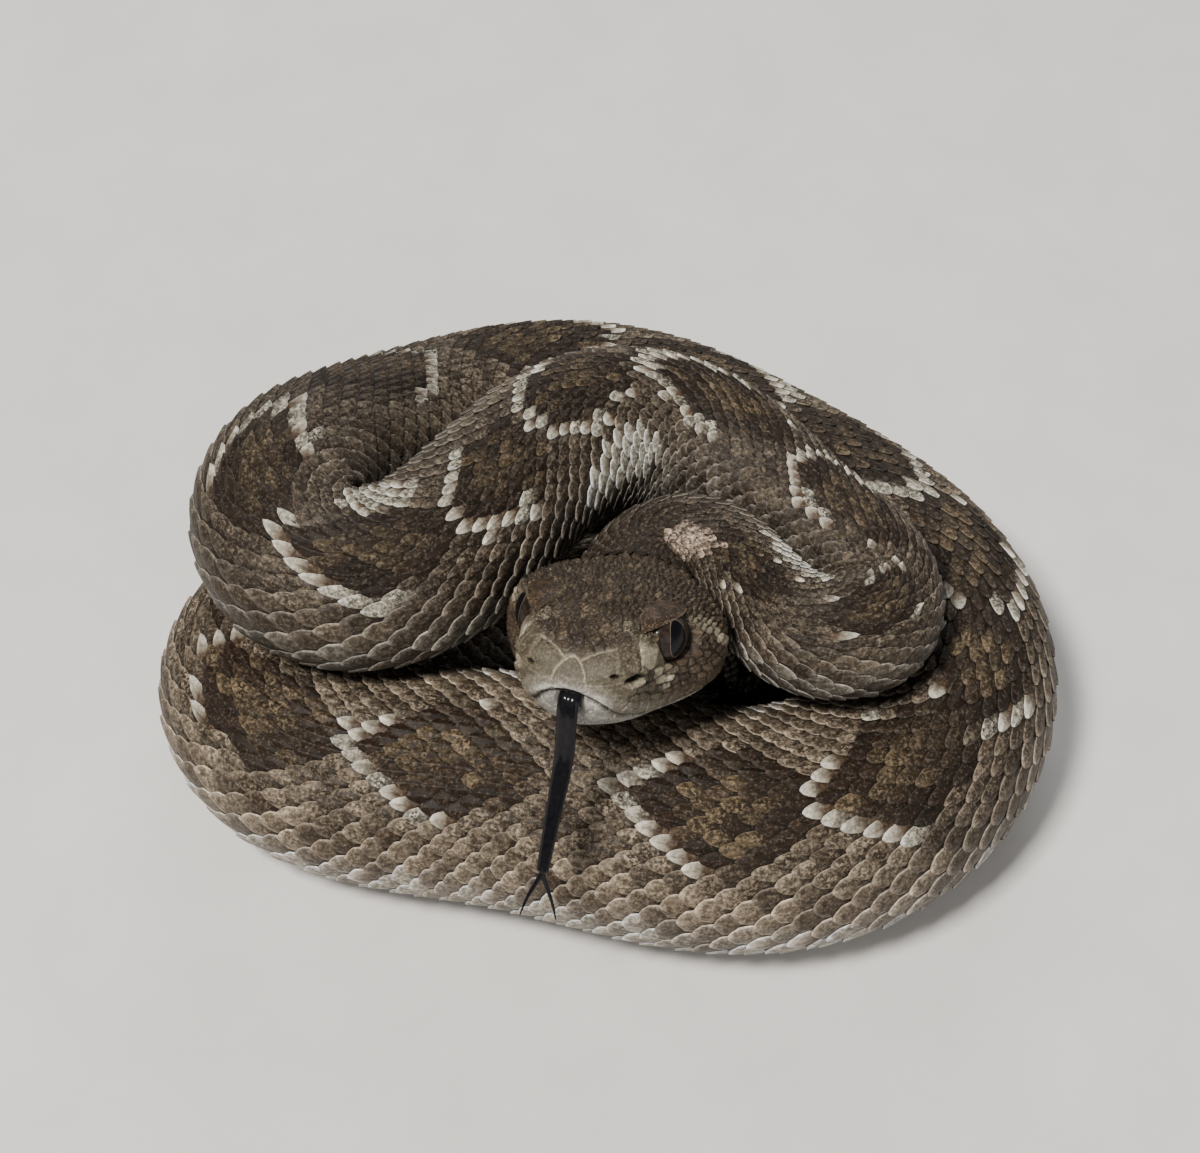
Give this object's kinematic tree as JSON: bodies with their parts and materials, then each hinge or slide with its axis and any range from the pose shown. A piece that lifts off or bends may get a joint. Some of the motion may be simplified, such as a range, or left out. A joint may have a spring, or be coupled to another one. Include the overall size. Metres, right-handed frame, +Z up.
{
  "type": "western diamondback rattlesnake",
  "caption": "Still, life-size western diamondback rattlesnake coiled on its belly, head raised on the middle of the coil and forked tongue out.",
  "frame": {"origin": "centre of the coil's footprint, on the floor", "axes": "+Z up, +X to the snake's left as its head faces the viewer, -Y towards the viewer"},
  "size_m": [0.1286, 0.1104, 0.0599],
  "materials": {
    "body_skin": "dry keeled scales, grey-brown with dark brown diamonds edged in white",
    "head_skin": "dry small scales, olive brown with mottled crown",
    "jaw_skin": "smooth pale chin and lip scales",
    "eye": "wet dark brown eye with an upright slit pupil",
    "tongue": "wet black",
    "tail_skin": "dry scales, white with black bands",
    "rattle": "dry horn, tan and slightly see-through at the edges"
  },
  "bodies": {
    "root": {"nape": "body_skin", "neck": "body_skin", "right_loop_front": "body_skin", "right_loop_turn": "body_skin", "right_loop_back": "body_skin", "top_arc_right": "body_skin", "top_arc_left": "body_skin", "crossing": "body_skin", "left_loop_front": "body_skin", "left_loop_turn": "body_skin", "left_loop_back": "body_skin", "descent": "body_skin", "ring_back_left": "body_skin", "ring_back_right": "body_skin", "ring_right": "body_skin", "ring_front_right": "body_skin", "ring_front": "body_skin", "ring_front_left": "body_skin", "ring_left": "body_skin", "inner_turn": "body_skin", "inner_coil": "body_skin", "inner_bend": "body_skin", "tail_base": "tail_skin", "tail": "tail_skin", "head": "head_skin", "lower_jaw": "jaw_skin", "eye_left": "eye", "eye_right": "eye", "tongue": "tongue", "rattle": "rattle"}
  },
  "joints": []
}
